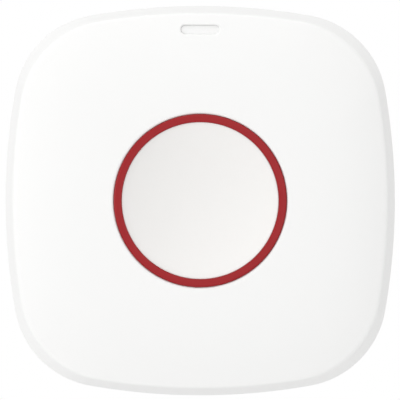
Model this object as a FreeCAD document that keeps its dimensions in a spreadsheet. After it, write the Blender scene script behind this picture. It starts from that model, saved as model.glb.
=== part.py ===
import FreeCAD, Part
import math
import operator
import os

import Sketcher

# Wireless panic button, 62 mm wide, in millimetres.
# Every piece is drawn lying on its back, with the wall plane at z = 0, the front up and the
# indicator towards +y, and is then stood up: its back at y = 0, its front towards -y.

SIZES = {
    # Outline of the case, seen from the front
    "half_width": 31.0,
    "side_radius": 100.0,
    "corner_radius": 14.65,
    "front_draft": 1.2,
    "shoulder_corner": 15.1,
    "rear_draft": 0.5,
    # Depths from the wall to the front
    "plate_thickness": 2.0,
    "plate_gap": 0.1,
    "floor_thickness": 1.6,
    "door_thickness": 1.8,
    "seal_space": 0.7,
    "cell_thickness": 3.2,
    "contact_space": 0.9,
    "board_thickness": 1.2,
    "switch_height": 2.9,
    "press_travel": 1.0,
    "press_reserve": 0.3,
    "web_thickness": 0.9,
    "cap_thickness": 0.7,
    "dish_depth": 2.5,
    "ring_above_cap": 0.3,
    "ring_above_cover": 0.1,
    "crown_rise": 2.7,
    "crown_fullness": 2.25,
    "crown_flatness": 0.22,
    "parting_height": 8.6,
    "rim_gap": 0.3,
    # Walls of the case
    "cover_wall": 1.4,
    "crown_thickness": 1.8,
    "crease_round": 0.6,
    "parting_bevel": 0.25,
    "tongue_thickness": 0.8,
    "tongue_height": 1.2,
    "tongue_gap": 0.1,
    "seal_width": 0.6,
    "seal_height": 0.8,
    "seal_side_gap": 0.05,
    "recess_step": 0.4,
    # Button
    "ring_radius": 13.85,
    "ring_width": 1.3,
    "ring_round": 0.3,
    "ring_gap": 0.15,
    "hole_bevel": 0.35,
    "collar_wall": 1.35,
    "flange_width": 1.75,
    "flange_thickness": 1.0,
    "cap_gap": 0.05,
    "post_radius": 2.5,
    "post_length": 0.4,
    "peg_radius": 1.0,
    "peg_circle": 7.3,
    "peg_gap": 0.05,
    "spring_radius": 9.9,
    "spring_wire": 0.7,
    "spring_turns": 3.0,
    # Indicator window
    "window_inset": 3.85,
    "window_half_length": 2.35,
    "window_radius": 0.8,
    "guide_gap": 0.05,
    "guide_recess": 0.15,
    "guide_foot_reach": 3.2,
    "guide_foot_height": 1.5,
    "guide_flange": 0.8,
    "guide_to_led": 0.3,
    # Circuit board and what it carries
    "board_gap": 0.6,
    "board_notch_gap": 0.6,
    "switch_half": 6.0,
    "switch_plate": 0.3,
    "plunger_radius": 3.4,
    "plunger_gap": 0.1,
    "plunger_depth": 1.3,
    "plunger_floor_gap": 0.2,
    "led_half_length": 1.75,
    "led_half_width": 1.4,
    "led_height": 1.0,
    "shield_half_length": 7.5,
    "shield_half_width": 4.0,
    "shield_height": 2.0,
    "chip_half": 3.5,
    "chip_height": 1.0,
    "crystal_half_length": 2.5,
    "crystal_half_width": 1.6,
    "crystal_height": 1.1,
    "capacitor_half_length": 3.0,
    "capacitor_half_width": 1.6,
    "capacitor_height": 2.4,
    "antenna_radius": 1.5,
    "antenna_wire": 0.6,
    "antenna_length": 14.0,
    "antenna_turns": 8.0,
    # Fasteners
    "case_screw_inset": 3.5,
    "case_screw_radius": 1.1,
    "case_screw_head": 2.0,
    "case_screw_head_height": 1.4,
    "case_screw_seat": 5.2,
    "case_screw_length": 7.4,
    "case_pillar_radius": 3.0,
    "case_boss_radius": 2.6,
    "board_screw_side": 5.0,
    "board_screw_radius": 0.95,
    "board_screw_head": 1.9,
    "board_screw_head_height": 1.3,
    "board_screw_length": 4.2,
    "board_boss_radius": 2.3,
    "screw_hole_gap": 0.15,
    "thread_gap": 0.02,
    "counterbore_gap": 0.3,
    "thread_relief": 0.8,
    # Battery, its contacts and its door
    "cell_radius": 10.0,
    "cell_gap": 0.6,
    "contact_thickness": 0.25,
    "contact_half_width": 2.5,
    "contact_reach": 4.5,
    "contact_drop": 2.4,
    "door_radius": 13.5,
    "door_gap": 0.1,
    "lug_reach": 1.0,
    "lug_thickness": 1.0,
    "lug_angle": 30.0,
    "door_turn": 40.0,
    "stop_angle": 1.0,
    "well_wall": 1.8,
    "coin_slot_half_length": 7.0,
    "coin_slot_half_width": 0.9,
    "coin_slot_depth": 0.9,
    "door_seal_wire": 0.9,
    "door_seal_groove": 0.3,
    # Tamper switch
    "tamper_height_up": 6.0,
    "tamper_half": 3.0,
    "tamper_body_height": 3.1,
    "tamper_radius": 1.5,
    "tamper_tip_radius": 0.8,
    "tamper_tip_gap": 0.05,
    "tamper_hole_gap": 0.3,
    "tamper_depth": 1.3,
    # Wall plate
    "slide_travel": 4.0,
    "tamper_ratio": 0.2,
    "plate_side_gap": 0.4,
    "plate_window_gap": 0.3,
    "plate_hole_radius": 1.7,
    "plate_countersink": 3.1,
    "hook_place": 12.0,
    "hook_half_width": 2.5,
    "hook_post": 2.0,
    "hook_reach": 3.0,
    "hook_thickness": 1.2,
    "hook_upper": 4.6,
    "hook_lower": 1.1,
    "hook_side_gap": 0.3,
    "pad_half_length": 7.0,
    "pad_half_width": 2.6,
    "pad_thickness": 0.8,
    "pad_gap": 0.2,
}

OPERATIONS = {"+": operator.add, "-": operator.sub, "*": operator.mul, "/": operator.truediv}
HORIZONTAL_AXIS, VERTICAL_AXIS = -1, -2
ORIGIN = (-1, 1)
START, END, CENTRE = 1, 2, 3
UPRIGHT = FreeCAD.Placement(FreeCAD.Vector(), FreeCAD.Rotation(FreeCAD.Vector(1, 0, 0), 90))


class Dim:
    """A number of the model, with the formula on the sheet that it comes from."""

    def __init__(self, value, formula):
        self.value = value
        self.formula = formula

    def __add__(self, other):
        return combine(self, "+", other)

    def __radd__(self, other):
        return combine(other, "+", self)

    def __sub__(self, other):
        return combine(self, "-", other)

    def __rsub__(self, other):
        return combine(other, "-", self)

    def __mul__(self, other):
        return combine(self, "*", other)

    def __rmul__(self, other):
        return combine(other, "*", self)

    def __truediv__(self, other):
        return combine(self, "/", other)

    def __neg__(self):
        return combine(0.0, "-", self)


def as_dim(number):
    """Gives a bare number the form of a Dim."""
    return number if isinstance(number, Dim) else Dim(float(number), repr(float(number)))


def combine(left, sign, right):
    """Joins two numbers, in value and in formula."""
    left, right = as_dim(left), as_dim(right)
    value = OPERATIONS[sign](left.value, right.value)
    return Dim(value, f"({left.formula} {sign} {right.formula})")


def root(dim):
    """Square root of a Dim."""
    return Dim(math.sqrt(dim.value), f"sqrt({dim.formula})")


doc = FreeCAD.newDocument("PanicButton")
sheet = doc.addObject("Spreadsheet::Sheet", "Sizes")
for row, (alias, number) in enumerate(SIZES.items(), 1):
    sheet.set(f"A{row}", alias)
    sheet.set(f"B{row}", str(number))
    sheet.setAlias(f"B{row}", alias)
derived = doc.addObject("App::VarSet", "Derived")
doc.recompute()


def size(alias):
    """A driving dimension, by its name on the sheet."""
    return Dim(float(sheet.get(alias)), f"Sizes.{alias}")


def named(name, dim):
    """Keeps a worked-out dimension in the document, where it can be read by name."""
    derived.addProperty("App::PropertyFloat", name)
    derived.setExpression(name, dim.formula)
    return Dim(dim.value, f"Derived.{name}")


class Outline:
    """Rounded square of four bowed sides and four tangent corner arcs, centred at (0, shift)."""

    def __init__(self, half, side, corner, shift=0.0):
        self.half, self.side, self.corner, self.shift = half, side, corner, as_dim(shift)

    def inset(self, distance):
        return Outline(self.half - distance, self.side - distance, self.corner - distance, self.shift)

    def shifted(self, distance):
        return Outline(self.half, self.side, self.corner, self.shift + distance)

    def midway(self, other):
        pairs = ((self.half, other.half), (self.side, other.side), (self.corner, other.corner))
        return Outline(*((mine + theirs) / 2 for mine, theirs in pairs), self.shift)

    def corner_centre(self):
        """How far the corner arcs' centres lie from the middle, along x and along y."""
        offset = self.half - self.side
        reach = self.side - self.corner
        return (offset + root(reach * reach * 2 - offset * offset)) / 2

    def diagonal(self):
        return self.corner_centre() * math.sqrt(2) + self.corner


def named_outline(name, outline):
    """Keeps an outline's three numbers in the document."""
    return Outline(
        named(f"{name}_half", outline.half),
        named(f"{name}_side", outline.side),
        named(f"{name}_corner", outline.corner),
        outline.shift,
    )


# Levels, each a height above the wall plane
PLATE_FRONT = size("plate_thickness")
FLOOR_BACK = named("floor_back", PLATE_FRONT + size("plate_gap"))
FLOOR_FRONT = named("floor_front", FLOOR_BACK + size("floor_thickness"))
DOOR_FRONT = named("door_front", FLOOR_BACK + size("door_thickness"))
WELL_SHOULDER = named("well_shoulder", DOOR_FRONT + size("seal_space"))
CELL_FRONT = named("cell_front", DOOR_FRONT + size("cell_thickness"))
BOARD_BACK = named("board_back", CELL_FRONT + size("contact_space"))
BOARD_FRONT = named("board_front", BOARD_BACK + size("board_thickness"))
SWITCH_FRONT = named("switch_front", BOARD_FRONT + size("switch_height"))
WEB_BACK = named("web_back", SWITCH_FRONT + size("press_travel") + size("press_reserve"))
WEB_FRONT = named("web_front", WEB_BACK + size("web_thickness"))
DISH_FLOOR = named("dish_floor", WEB_FRONT + size("cap_thickness"))
CAP_RIM = named("cap_rim", DISH_FLOOR + size("dish_depth"))
RING_FRONT = named("ring_front", CAP_RIM + size("ring_above_cap"))
HOLE_EDGE = named("hole_edge", RING_FRONT - size("ring_above_cover"))
SHOULDER = named("shoulder", HOLE_EDGE - size("crown_rise"))
PARTING = size("parting_height")

# Radii of the round parts
HOLE_RADIUS = named("hole_radius", size("ring_radius") + size("ring_gap"))
RING_INNER = named("ring_inner", size("ring_radius") - size("ring_width"))
FLANGE_RADIUS = named("flange_radius", size("ring_radius") + size("flange_width"))
BORE_RADIUS = named("bore_radius", size("door_radius") + size("door_gap"))
LUG_RADIUS = named("lug_radius", size("door_radius") + size("lug_reach"))
TRACK_RADIUS = named("track_radius", LUG_RADIUS + size("door_gap"))
WELL_RADIUS = named("well_radius", TRACK_RADIUS + size("well_wall"))
CELL_POCKET = named("cell_pocket", size("cell_radius") + size("cell_gap"))
PLATE_WINDOW = named("plate_window", LUG_RADIUS + size("plate_window_gap"))

# Outlines, from the outside in
CASE = Outline(size("half_width"), size("side_radius"), size("corner_radius"))
REAR_RIM = named_outline("rear_rim", CASE.inset(size("rear_draft")))
SHOULDER_LINE = named_outline(
    "shoulder_line",
    Outline(size("half_width") - size("front_draft"), size("side_radius"), size("shoulder_corner")),
)
CAVITY = named_outline("cavity", SHOULDER_LINE.inset(size("cover_wall")))
TONGUE = named_outline("tongue", CAVITY.inset(-size("tongue_thickness")))
REAR_INNER = named_outline("rear_inner", TONGUE.inset(-size("tongue_gap")))
RECESS = named_outline("recess", REAR_INNER.inset(size("recess_step")))
PLATE = named_outline("plate", RECESS.inset(size("plate_side_gap")))
BOARD = named_outline("board", CAVITY.inset(size("board_gap")))
SEAL_LINE = named_outline("seal_line", REAR_INNER.midway(CASE))

# Middle of the free strip of board between the button's flange and the board's edge
LANE = named("lane", (BOARD.half + FLANGE_RADIUS) / 2)

# Places that follow the outlines
WINDOW_UP = named("window_up", CASE.half - size("window_inset"))
CASE_SCREW = named("case_screw", (CAVITY.diagonal() - size("case_screw_inset")) / math.sqrt(2))
PLATE_HOLE = named("plate_hole", (PLATE_WINDOW + PLATE.half) / 2)
UPPER_SCREW = named("upper_screw", root(LANE * LANE - size("board_screw_side") * size("board_screw_side")))
LOWER_SCREW = named("lower_screw", LANE * (math.sqrt(3) / 2))
BOARD_SCREWS = [
    (-size("board_screw_side"), UPPER_SCREW),
    (LOWER_SCREW, -(LANE / 2)),
    (-LOWER_SCREW, -(LANE / 2)),
]
CROWN_STATIONS = (0.0, 0.33, 0.66, 1.0)
EDGE_BOW = 1.3
EDGE_ROUNDNESS = 0.83
THROUGH = 1.0


def crown_height(share):
    """Height of the crown above the shoulder, a share of the way from the crease to the hole."""
    steep, flat = size("crown_fullness"), size("crown_flatness")
    bend = 3.0 - steep * 2.0 - flat
    easing = steep + flat - 2.0
    return size("crown_rise") * share * (steep + share * (bend + share * easing))


def crown_outline(share):
    """Outline of the crown at a share of the way: the case's outline turns nearly round."""
    edge = HOLE_RADIUS + size("hole_bevel") * 1.3
    inner = Outline(edge, edge * EDGE_BOW, edge * EDGE_ROUNDNESS)
    half = SHOULDER_LINE.half * (1 - share) + inner.half * share
    diagonal = SHOULDER_LINE.diagonal() * (1 - share) + inner.diagonal() * share
    corner = SHOULDER_LINE.corner * (1 - share) + inner.corner * share
    centre = (diagonal - corner) / math.sqrt(2)
    inward = centre - half
    side = (corner * corner - inward * inward - centre * centre) / ((inward + corner) * 2)
    return Outline(half, side, corner)


CROWN_OUTLINES = [
    named_outline(f"crown_{index}", crown_outline(share))
    for index, share in enumerate(CROWN_STATIONS[1:], 1)
]


def new_body(name, several=False):
    """Starts a piece. A piece of several loose solids says so."""
    body = doc.addObject("PartDesign::Body", name)
    body.Label = name
    body.AllowCompound = several
    body.Placement = UPRIGHT
    return body


def origin_feature(body, role):
    return next(feature for feature in body.Origin.OriginFeatures if feature.Role == role)


def sketch_on(body, name, role, offsets, turn=0.0):
    """Starts a sketch on one of the body's own planes, moved by offsets in the sketch's axes."""
    sketch = body.newObject("Sketcher::SketchObject", name)
    sketch.AttachmentSupport = [(origin_feature(body, role), "")]
    sketch.MapMode = "FlatFace"
    base = FreeCAD.Vector(*(as_dim(offset).value for offset in offsets))
    rotation = FreeCAD.Rotation(FreeCAD.Vector(0, 1, 0), as_dim(turn).value)
    sketch.AttachmentOffset = FreeCAD.Placement(base, rotation)
    for axis, offset in zip("xyz", offsets):
        if isinstance(offset, Dim):
            sketch.setExpression(f"AttachmentOffset.Base.{axis}", offset.formula)
    if isinstance(turn, Dim):
        sketch.setExpression("AttachmentOffset.Rotation.Angle", turn.formula)
    return sketch


def level_sketch(body, name, level):
    """Sketch parallel to the wall, at a height above it."""
    return sketch_on(body, name, "XY_Plane", (0.0, 0.0, level))


def upright_sketch(body, name, x=0.0, y=0.0, turn=0.0):
    """Sketch in the x-z plane through (x, y), turned about its own vertical axis."""
    return sketch_on(body, name, "XZ_Plane", (x, 0.0, -y), turn)


def datum(sketch, kind, where, dim):
    """Adds one dimension to a sketch and ties it to the sheet."""
    index = sketch.addConstraint(Sketcher.Constraint(kind, *where, dim.value))
    sketch.setExpression(f"Constraints[{index}]", dim.formula)


def locate(sketch, geometry, point, x, y):
    """Places a point of a sketch at (x, y)."""
    for kind, axis, coordinate in (("DistanceX", VERTICAL_AXIS, x), ("DistanceY", HORIZONTAL_AXIS, y)):
        coordinate = as_dim(coordinate)
        if coordinate.formula == "0.0":
            sketch.addConstraint(Sketcher.Constraint("PointOnObject", geometry, point, axis))
        else:
            datum(sketch, kind, (*ORIGIN, geometry, point), coordinate)


def vector(x, y):
    return FreeCAD.Vector(as_dim(x).value, as_dim(y).value, 0)


def draw_circle(sketch, x, y, radius):
    circle = Part.Circle(vector(x, y), FreeCAD.Vector(0, 0, 1), as_dim(radius).value)
    index = sketch.addGeometry(circle, False)
    locate(sketch, index, CENTRE, x, y)
    datum(sketch, "Radius", (index,), as_dim(radius))


def draw_polygon(sketch, points):
    """Closed shape of straight lines through the given points."""
    lines = []
    for point, following in zip(points, points[1:] + points[:1]):
        lines.append(sketch.addGeometry(Part.LineSegment(vector(*point), vector(*following)), False))
    for line, following, point in zip(lines, lines[1:] + lines[:1], points):
        sketch.addConstraint(Sketcher.Constraint("Coincident", line, END, following, START))
        locate(sketch, line, START, *point)


def draw_box(sketch, x, y, half_length, half_width):
    left, right = x - half_length, x + half_length
    low, high = y - half_width, y + half_width
    draw_polygon(sketch, [(left, low), (right, low), (right, high), (left, high)])


def draw_plus(sketch, x, y, reach, half):
    """Cross of two equal bars."""
    steps = [(reach, -half), (reach, half), (half, half), (half, reach), (-half, reach), (-half, half)]
    steps += [(-reach, half), (-reach, -half), (-half, -half), (-half, -reach), (half, -reach)]
    steps += [(half, -half)]
    draw_polygon(sketch, [(x + right, y + up) for right, up in steps])


def draw_stadium(sketch, y, half_length, radius):
    """Slot with round ends, lying along x and centred at (0, y)."""
    upwards = FreeCAD.Vector(0, 0, 1)
    reach, rise, quarter = as_dim(half_length), as_dim(radius), math.pi / 2
    right = Part.ArcOfCircle(Part.Circle(vector(reach, y), upwards, rise.value), -quarter, quarter)
    left = Part.ArcOfCircle(Part.Circle(vector(-reach, y), upwards, rise.value), quarter, 3 * quarter)
    top = Part.LineSegment(vector(reach, y + rise), vector(-reach, y + rise))
    bottom = Part.LineSegment(vector(-reach, y - rise), vector(reach, y - rise))
    ring = [sketch.addGeometry(piece, False) for piece in (right, top, left, bottom)]
    for piece, following in zip(ring, ring[1:] + ring[:1]):
        sketch.addConstraint(Sketcher.Constraint("Tangent", piece, END, following, START))
    locate(sketch, ring[0], CENTRE, reach, y)
    locate(sketch, ring[2], CENTRE, -reach, y)
    sketch.addConstraint(Sketcher.Constraint("Equal", ring[0], ring[2]))
    datum(sketch, "Radius", (ring[0],), rise)


def draw_outline(sketch, outline):
    """Rounded square: four side arcs and four corner arcs, each tangent to the next."""
    upwards = FreeCAD.Vector(0, 0, 1)
    offset = outline.half - outline.side
    centre = outline.corner_centre().value
    swing = math.atan2(centre, centre - offset.value)
    shift = outline.shift
    side_centres = [(offset, shift), (0.0, shift + offset), (-offset, shift), (0.0, shift - offset)]
    ring, sides, corners = [], [], []
    for quarter, (x, y) in enumerate(side_centres):
        turn = quarter * math.pi / 2
        corner_x = centre * math.sqrt(2) * math.cos(turn + math.pi / 4)
        corner_y = centre * math.sqrt(2) * math.sin(turn + math.pi / 4) + shift.value
        side = Part.Circle(vector(x, y), upwards, outline.side.value)
        corner = Part.Circle(vector(corner_x, corner_y), upwards, outline.corner.value)
        sides.append(sketch.addGeometry(Part.ArcOfCircle(side, turn - swing, turn + swing), False))
        corner_arc = Part.ArcOfCircle(corner, turn + swing, turn + math.pi / 2 - swing)
        corners.append(sketch.addGeometry(corner_arc, False))
        ring += [sides[-1], corners[-1]]
    for arc, following in zip(ring, ring[1:] + ring[:1]):
        sketch.addConstraint(Sketcher.Constraint("Tangent", arc, END, following, START))
    for arc, (x, y) in zip(sides, side_centres):
        locate(sketch, arc, CENTRE, x, y)
    for arcs in (sides, corners):
        for arc in arcs[1:]:
            sketch.addConstraint(Sketcher.Constraint("Equal", arcs[0], arc))
    datum(sketch, "Radius", (sides[0],), outline.side)
    datum(sketch, "Radius", (corners[0],), outline.corner)


def finish_feature(body, feature):
    body.Tip = feature
    return feature


def pad(body, name, low, high, draw, midplane=False):
    """Adds what draw puts in a sketch, between two heights."""
    sketch = level_sketch(body, f"{name}_sketch", low)
    draw(sketch)
    feature = body.newObject("PartDesign::Pad", name)
    feature.Profile = sketch
    feature.Midplane = midplane
    feature.setExpression("Length", (as_dim(high) - low).formula)
    return finish_feature(body, feature)


def pocket(body, name, high, low, draw):
    """Cuts away what draw puts in a sketch, between two heights."""
    sketch = level_sketch(body, f"{name}_sketch", high)
    draw(sketch)
    feature = body.newObject("PartDesign::Pocket", name)
    feature.Profile = sketch
    feature.setExpression("Length", (as_dim(high) - low).formula)
    return finish_feature(body, feature)


def turned(body, name, kind, sketch, angle=360.0):
    """Revolution or Groove of a sketch about its own vertical axis."""
    feature = body.newObject(f"PartDesign::{kind}", name)
    feature.Profile = sketch
    feature.ReferenceAxis = (sketch, ["V_Axis"])
    if isinstance(angle, Dim):
        feature.setExpression("Angle", angle.formula)
    else:
        feature.Angle = angle
    return finish_feature(body, feature)


def revolve(body, name, points, x=0.0, y=0.0, kind="Revolution", turn=0.0, angle=360.0):
    """Turns a profile of (radius, height) points about the vertical through (x, y)."""
    sketch = upright_sketch(body, f"{name}_sketch", x, y, turn)
    draw_polygon(sketch, points)
    return turned(body, name, kind, sketch, angle)


def ring_section(inner, outer, low, high):
    """Profile of a plain ring."""
    return [(inner, low), (outer, low), (outer, high), (inner, high)]


def polar_copies(body, name, originals, count):
    """Repeats features evenly around the middle of the case."""
    feature = body.newObject("PartDesign::PolarPattern", name)
    feature.Originals = originals
    feature.Axis = (origin_feature(body, "Z_Axis"), [""])
    feature.Angle = 360
    feature.Occurrences = count
    return finish_feature(body, feature)


def loft(body, name, kind, sections, ruled):
    """Skin through outlines, each given with its height."""
    sketches = []
    for index, (outline, level) in enumerate(sections):
        sketch = level_sketch(body, f"{name}_section_{index}", level)
        draw_outline(sketch, outline)
        sketches.append(sketch)
    feature = body.newObject(f"PartDesign::{kind}", name)
    feature.Profile = sketches[0]
    feature.Sections = sketches[1:]
    feature.Ruled = ruled
    return finish_feature(body, feature)


def dress(body, name, kind, edge_test, dim):
    """Fillet or Chamfer of the edges whose points all pass the test."""
    doc.recompute()
    base = body.Tip
    edges = [
        f"Edge{index}"
        for index, edge in enumerate(base.Shape.Edges, 1)
        if all(edge_test(point) for point in edge.discretize(5))
    ]
    feature = body.newObject(f"PartDesign::{kind}", name)
    feature.Base = (base, edges)
    feature.setExpression("Radius" if kind == "Fillet" else "Size", dim.formula)
    return finish_feature(body, feature)


def at_height(level):
    """Test for edge points at a height."""
    def test(point):
        return abs(point.z - level.value) < 1e-4
    return test


def on_circle(level, radius):
    """Test for edge points on a circle about the middle."""
    def test(point):
        return abs(point.z - level.value) < 1e-4 and abs(math.hypot(point.x, point.y) - radius.value) < 1e-4
    return test


def corners_of(place):
    """The four places at equal distances along x and y."""
    return [(place * across, place * up) for across in (1, -1) for up in (1, -1)]


def circles(places, radius):
    """Gives a function that draws one circle at each place."""
    def draw(sketch):
        for x, y in places:
            draw_circle(sketch, x, y, radius)
    return draw


def make_front_cover():
    """Front shell: drafted side wall, pillowed face, collar round the button and screw bosses."""
    body = new_body("front_cover")
    bevel = size("parting_bevel")
    wall = [(CASE.inset(bevel), PARTING), (CASE, PARTING + bevel), (SHOULDER_LINE, SHOULDER)]
    loft(body, "side_wall", "AdditiveLoft", wall, True)
    crown = [(SHOULDER_LINE, SHOULDER)]
    for share, outline in zip(CROWN_STATIONS[1:], CROWN_OUTLINES):
        crown.append((outline, SHOULDER + crown_height(share)))
    loft(body, "face", "AdditiveLoft", crown, False)
    dress(body, "crease", "Fillet", at_height(SHOULDER), size("crease_round"))
    ceiling = SHOULDER - size("cover_wall")
    pocket(body, "cavity_cut", ceiling, PARTING, lambda sketch: draw_outline(sketch, CAVITY))
    hollow = [(CAVITY, ceiling)]
    for share, outline in zip(CROWN_STATIONS[1:], CROWN_OUTLINES):
        hollow.append((outline, SHOULDER + crown_height(share) - size("crown_thickness")))
    loft(body, "face_hollow", "SubtractiveLoft", hollow, False)
    collar_radius = HOLE_RADIUS + size("collar_wall")
    inside_face = HOLE_EDGE - size("crown_thickness") / 2
    pad(body, "collar", WEB_BACK, inside_face, lambda sketch: draw_circle(sketch, 0.0, 0.0, collar_radius))
    above, below = HOLE_EDGE + THROUGH, WEB_BACK - THROUGH
    pocket(body, "button_hole", above, below, lambda sketch: draw_circle(sketch, 0.0, 0.0, HOLE_RADIUS))
    dress(body, "hole_bevel", "Chamfer", on_circle(HOLE_EDGE, HOLE_RADIUS), size("hole_bevel"))

    def window(sketch):
        radius = size("window_radius") + size("guide_gap")
        draw_stadium(sketch, WINDOW_UP, size("window_half_length"), radius)

    pocket(body, "window", above, ceiling - THROUGH, window)

    def bosses(sketch):
        for x, y in corners_of(CASE_SCREW):
            draw_circle(sketch, x, y, size("case_boss_radius"))

    def pilot_holes(sketch):
        for x, y in corners_of(CASE_SCREW):
            draw_circle(sketch, x, y, size("case_screw_radius") + size("thread_gap"))

    def tongue(sketch):
        draw_outline(sketch, TONGUE)
        draw_outline(sketch, CAVITY)

    pad(body, "screw_bosses", PARTING, SHOULDER - size("parting_bevel"), bosses)
    screw_end = size("case_screw_seat") + size("case_screw_length")
    pocket(body, "pilot_holes", screw_end + size("thread_relief") / 2, PARTING, pilot_holes)
    pad(body, "tongue", PARTING - size("tongue_height"), PARTING, tongue)
    return body


def make_light_guide():
    """Clear guide: a round-ended window, a flange behind the face and a foot over the indicator."""
    body = new_body("light_guide")
    foot = BOARD_FRONT + size("led_height") + size("guide_to_led")
    outer_edge = WINDOW_UP + size("window_radius")
    share = (SHOULDER_LINE.half - outer_edge) / (SHOULDER_LINE.half - CROWN_OUTLINES[-1].half)
    front = named("guide_front", SHOULDER + crown_height(share) - size("guide_recess"))
    middle = WINDOW_UP
    half_length, radius = size("window_half_length"), size("window_radius")
    pad(body, "stem", foot, front, lambda sketch: draw_stadium(sketch, middle, half_length, radius))
    reach = size("guide_foot_reach") / 2
    length = half_length + radius / 2

    def draw_foot(sketch):
        draw_box(sketch, as_dim(0.0), middle - reach, length, reach)

    pad(body, "foot", foot, foot + size("guide_foot_height"), draw_foot)
    flange_front = SHOULDER - size("cover_wall") - size("crown_thickness") / 4

    def draw_flange(sketch):
        draw_box(sketch, as_dim(0.0), middle - radius, half_length + radius + size("guide_flange"), radius)

    pad(body, "flange", flange_front - size("guide_flange"), flange_front, draw_flange)
    return body


def make_button_carrier():
    """Red carrier: the ring round the cap, the web behind it and the flange that holds it in."""
    body = new_body("button_carrier")
    outer, inner = size("ring_radius"), RING_INNER
    flange_back = WEB_BACK - size("flange_thickness")
    post_end = WEB_BACK - size("post_length")
    revolve(body, "cup", [
        (0.0, post_end), (size("post_radius"), post_end), (size("post_radius"), WEB_BACK),
        (inner, WEB_BACK), (inner, flange_back), (FLANGE_RADIUS, flange_back), (FLANGE_RADIUS, WEB_BACK),
        (outer, WEB_BACK), (outer, RING_FRONT), (inner, RING_FRONT), (inner, WEB_FRONT), (0.0, WEB_FRONT),
    ])

    def on_ring(point):
        return on_circle(RING_FRONT, outer)(point) or on_circle(RING_FRONT, inner)(point)

    dress(body, "ring_rounds", "Fillet", on_ring, size("ring_round"))
    hole = pocket(
        body, "peg_hole", WEB_FRONT, WEB_BACK,
        lambda sketch: draw_circle(sketch, 0.0, size("peg_circle"), size("peg_radius") + size("peg_gap")),
    )
    polar_copies(body, "peg_holes", [hole], 3)
    return body


def make_button_cap():
    """White cap: a dished disc held in the carrier by three pegs."""
    body = new_body("button_cap")
    radius = RING_INNER - size("cap_gap")
    revolve(body, "disc", [(0.0, WEB_FRONT), (radius, WEB_FRONT), (radius, CAP_RIM), (0.0, CAP_RIM)])
    sketch = upright_sketch(body, "dish_sketch")
    dish_radius = (radius.value**2 + size("dish_depth").value**2) / (2 * size("dish_depth").value)
    circle = Part.Circle(vector(0.0, DISH_FLOOR + dish_radius), FreeCAD.Vector(0, 0, 1), dish_radius)
    half_angle = math.asin(radius.value / dish_radius)
    lowest = 1.5 * math.pi
    arc = sketch.addGeometry(Part.ArcOfCircle(circle, lowest, lowest + half_angle), False)
    top = CAP_RIM + THROUGH
    corners = [(radius, CAP_RIM), (radius, top), (as_dim(0.0), top), (as_dim(0.0), DISH_FLOOR)]
    lines = []
    for point, following in zip(corners, corners[1:]):
        lines.append(sketch.addGeometry(Part.LineSegment(vector(*point), vector(*following)), False))
    for piece, following in zip([arc] + lines, lines + [arc]):
        sketch.addConstraint(Sketcher.Constraint("Coincident", piece, END, following, START))
    sketch.addConstraint(Sketcher.Constraint("PointOnObject", arc, CENTRE, VERTICAL_AXIS))
    locate(sketch, arc, START, 0.0, DISH_FLOOR)
    locate(sketch, arc, END, radius, CAP_RIM)
    locate(sketch, lines[1], START, radius, top)
    locate(sketch, lines[2], START, 0.0, top)
    turned(body, "dish", "Groove", sketch)
    peg = pad(
        body, "peg", WEB_BACK, WEB_FRONT,
        lambda sketch: draw_circle(sketch, 0.0, size("peg_circle"), size("peg_radius")),
    )
    polar_copies(body, "pegs", [peg], 3)
    return body


def make_coil(name, sketch_for, axis, radius, wire, length, turns):
    """Round wire wound into a helix whose ends lie within the given length."""
    body = new_body(name)
    sketch = sketch_for(body)
    across, along = (radius, wire / 2) if axis == "V_Axis" else (wire / 2, radius)
    draw_circle(sketch, across, along, wire / 2)
    feature = body.newObject("PartDesign::AdditiveHelix", f"{name}_wire")
    feature.Profile = sketch
    feature.ReferenceAxis = (sketch, [axis])
    feature.Mode = 0
    feature.setExpression("Height", (length - wire).formula)
    feature.setExpression("Pitch", ((length - wire) / turns).formula)
    finish_feature(body, feature)
    return body


def make_return_spring():
    """Spring round the switch, between the board and the carrier's web."""
    def sketch_for(body):
        return sketch_on(body, "wire_section", "XZ_Plane", (0.0, BOARD_FRONT, 0.0))

    length = WEB_BACK - BOARD_FRONT
    wire = size("spring_wire")
    return make_coil("return_spring", sketch_for, "V_Axis", size("spring_radius"), wire, length,
                     size("spring_turns"))


def make_antenna():
    """Coiled aerial, lying along the board's left edge."""
    radius, wire, length = size("antenna_radius"), size("antenna_wire"), size("antenna_length")
    height = BOARD_FRONT + radius + wire / 2

    def sketch_for(body):
        return sketch_on(body, "wire_section", "YZ_Plane", (-length / 2, height, -LANE))

    return make_coil("antenna_coil", sketch_for, "H_Axis", radius, wire, length, size("antenna_turns"))


def make_circuit_board():
    """Board: the cavity's outline, notched at the case screws and drilled for its own."""
    body = new_body("circuit_board")
    pad(body, "panel", BOARD_BACK, BOARD_FRONT, lambda sketch: draw_outline(sketch, BOARD))

    def notches(sketch):
        for x, y in corners_of(CASE_SCREW):
            draw_circle(sketch, x, y, size("case_pillar_radius") + size("board_notch_gap"))

    pocket(body, "notches", BOARD_FRONT, BOARD_BACK, notches)
    screw_hole = size("board_screw_radius") + size("screw_hole_gap")
    pocket(body, "screw_holes", BOARD_FRONT, BOARD_BACK, circles(BOARD_SCREWS, screw_hole))
    return body


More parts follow.
